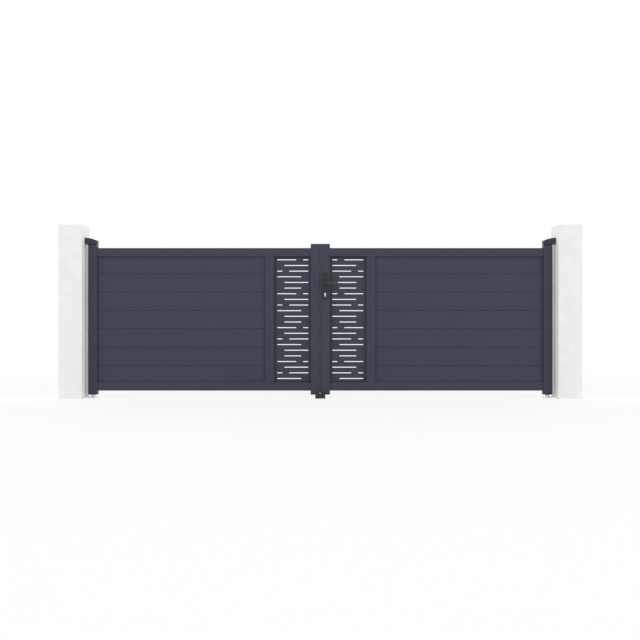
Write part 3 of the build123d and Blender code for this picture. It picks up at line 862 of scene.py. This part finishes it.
def key_plug(place, outward):
    """Round plug of the lock cylinder, with the slit for the key."""
    def disc(reach, height):
        return [Vector(place) + Vector((reach * math.cos(a), outward * height, reach * math.sin(a)))
                for a in FINE_ANGLES]

    def slit(height):
        wide, tall = SLIT_SQUARENESS
        return [Vector(place) + Vector((
            SLIT_WIDTH / 2 * max(-1.0, min(1.0, wide * math.cos(a))),
            outward * height,
            SLIT_HEIGHT / 2 * max(-1.0, min(1.0, tall * math.sin(a))),
        )) for a in FINE_ANGLES]

    return skin([
        disc(PLUG_RADIUS, 0.0),
        disc(PLUG_RADIUS, PLUG_HEIGHT - PLUG_CHAMFER),
        disc(PLUG_RADIUS - PLUG_CHAMFER, PLUG_HEIGHT),
        slit(PLUG_HEIGHT),
        slit(SLIT_FLOOR),
    ])


lever_low, lever_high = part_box("rear_lever")
cylinder_low, cylinder_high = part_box("lock_cylinder")
lever_z = (lever_low.z + lever_high.z) / 2
cylinder_z = cylinder_high.z - (cylinder_high.x - cylinder_low.x) / 2
rosettes = [
    rosette((lock_x, plate_low.y, lever_z), (0, -1, 0)),
    rosette((lock_x, plate_high.y, lever_z), (0, 1, 0)),
]
make_piece("lever_rosettes", "right_leaf", "black_coat", rosettes)
plugs = make_piece("key_plugs", "right_leaf", "nickel_plate", [
    key_plug((lock_x, cylinder_low.y, cylinder_z), -1),
    key_plug((lock_x, cylinder_high.y, cylinder_z), 1),
])
# The slit's faces take the black rubber finish as painted shade.
plugs.data.materials.append(finishes["black_rubber"])
for face in plugs.data.polygons:
    in_slit = all(abs(plugs.data.vertices[v].co.x - lock_x) < SLIT_WIDTH for v in face.vertices)
    face.material_index = int(in_slit)
print("rosettes at", round(lever_z, 4), "m and key plugs at", round(cylinder_z, 4), "m")

# %% [markdown]
# ## Seal between the leaves
# A strip on the right leaf covers the gap between the meeting stiles, and a soft lip on its edge
# closes the last few millimetres, so that the two leaves meet without a rattle. The lip is a rounded
# section drawn out along the strip. It stops just short of the left leaf, so the leaves can swing. A
# rubber plug closes the strip's lower end, a rounded rectangle drawn down from it.

# %% Meeting lip
LIP_GAP = 0.1 * MM
LIP_DEPTH = 9 * MM
LIP_STEPS = 14
LIP_FULLNESS = 0.5

strip_low, strip_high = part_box("meeting_strip")
left_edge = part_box("left_meeting_stile")[1].x
lip_reach = strip_low.x - left_edge - LIP_GAP
lip_middle = strip_low.y + LIP_DEPTH / 2
lip_section = []
for step in range(LIP_STEPS + 1):
    angle = math.pi * step / LIP_STEPS
    lip_section.append((
        strip_low.x - lip_reach * math.sin(angle) ** LIP_FULLNESS,
        lip_middle - LIP_DEPTH / 2 * math.cos(angle),
    ))
lip_loops = [[Vector((x, y, z)) for x, y in lip_section] for z in (strip_low.z, strip_high.z)]
make_piece("meeting_lip", "right_leaf", "anthracite_plastic", [skin(lip_loops)])
print("lip reaches", round(lip_reach / MM, 2), "mm past the strip")

# %% Plug under the strip
STRIP_PLUG_DROP = 6.5 * MM
STRIP_PLUG_GAP = 1 * MM
STRIP_PLUG_CORNER = 2 * MM
BEND_STEPS = 5


def soft_rectangle(width, height, radius):
    """Points round a rectangle with rounded corners."""
    points = []
    for turn, (right, top) in enumerate(((1, 1), (-1, 1), (-1, -1), (1, -1))):
        for step in range(BEND_STEPS + 1):
            angle = math.pi / 2 * (turn + step / BEND_STEPS)
            points.append((
                right * (width / 2 - radius) + radius * math.cos(angle),
                top * (height / 2 - radius) + radius * math.sin(angle),
            ))
    return points


plug_left = left_edge + STRIP_PLUG_GAP
plug_centre = Vector(((plug_left + strip_high.x) / 2, (strip_low.y + strip_high.y) / 2, 0.0))
plug_outline = soft_rectangle(strip_high.x - plug_left, strip_high.y - strip_low.y, STRIP_PLUG_CORNER)
plug_loops = [
    [plug_centre + Vector((x, y, z)) for x, y in plug_outline]
    for z in (strip_low.z - STRIP_PLUG_DROP, strip_low.z)
]
make_piece("strip_plug", "right_leaf", "black_rubber", [skin(plug_loops)])
print("plug hangs", round(STRIP_PLUG_DROP / MM, 1), "mm under the strip")

# %% [markdown]
# ## Buffers and strike plate
# The leaves close against two rubber buffers on the ground stop. On the left stile's edge a steel
# strike plate frames the hole that takes the latch. Both are rounded rectangles: the buffer is a
# stack of them that narrows towards the leaf, and the plate is a ring of them round its hole.

# %% Buffers and strike plate
BUFFER_WIDTH = 30 * MM
BUFFER_HEIGHT = 20 * MM
BUFFER_CORNER = 4 * MM
BUFFER_LAYERS = ((0.0, 0.0), (2.4 * MM, 0.0), (3.4 * MM, 0.4 * MM), (4.0 * MM, 1.2 * MM))
BUFFER_SPREAD = 22 * MM
BUFFER_Z = 24 * MM
STOP_BACK = -35.5 * MM
STRIKE_WIDTH = 22 * MM
STRIKE_HEIGHT = 120 * MM
STRIKE_DEPTH = 1.2 * MM
STRIKE_CORNER = 3 * MM
STRIKE_SCREW_SPREAD = 46 * MM
KEEPER_WIDTH = 15 * MM
KEEPER_HEIGHT = 20 * MM
KEEPER_CORNER = 1 * MM


def buffer(middle_x):
    """A rubber pad with a rounded front edge, on the stop's back face."""
    loops = []
    for depth, inset in BUFFER_LAYERS:
        outline = soft_rectangle(BUFFER_WIDTH - 2 * inset, BUFFER_HEIGHT - 2 * inset, BUFFER_CORNER)
        loops.append([Vector((middle_x + x, STOP_BACK + depth, BUFFER_Z + z)) for x, z in outline])
    return skin(loops)


buffers = [buffer(stop_middle + x) for x in (-BUFFER_SPREAD, BUFFER_SPREAD)]
make_piece("stop_buffers", "posts", "black_rubber", buffers)

strike_loops = []
for depth, width, height, radius in (
    (0.0, STRIKE_WIDTH, STRIKE_HEIGHT, STRIKE_CORNER),
    (STRIKE_DEPTH, STRIKE_WIDTH, STRIKE_HEIGHT, STRIKE_CORNER),
    (STRIKE_DEPTH, KEEPER_WIDTH, KEEPER_HEIGHT, KEEPER_CORNER),
    (0.0, KEEPER_WIDTH, KEEPER_HEIGHT, KEEPER_CORNER),
):
    outline = soft_rectangle(width, height, radius)
    strike_loops.append([Vector((left_edge + depth, y, lever_z + z)) for y, z in outline])
strike_face = left_edge + STRIKE_DEPTH
strike_screws = [
    socket_screw((strike_face, 0.0, lever_z + z), (1, 0, 0), LOCK_SCREW_RADIUS, FLUSH_HEIGHT)
    for z in (-STRIKE_SCREW_SPREAD, STRIKE_SCREW_SPREAD)
]
make_piece("strike_plate", "left_leaf", "stainless_steel",
           [skin(strike_loops, ring=True), *strike_screws])
print(len(buffers), "buffers and a strike plate with", len(strike_screws), "screws")
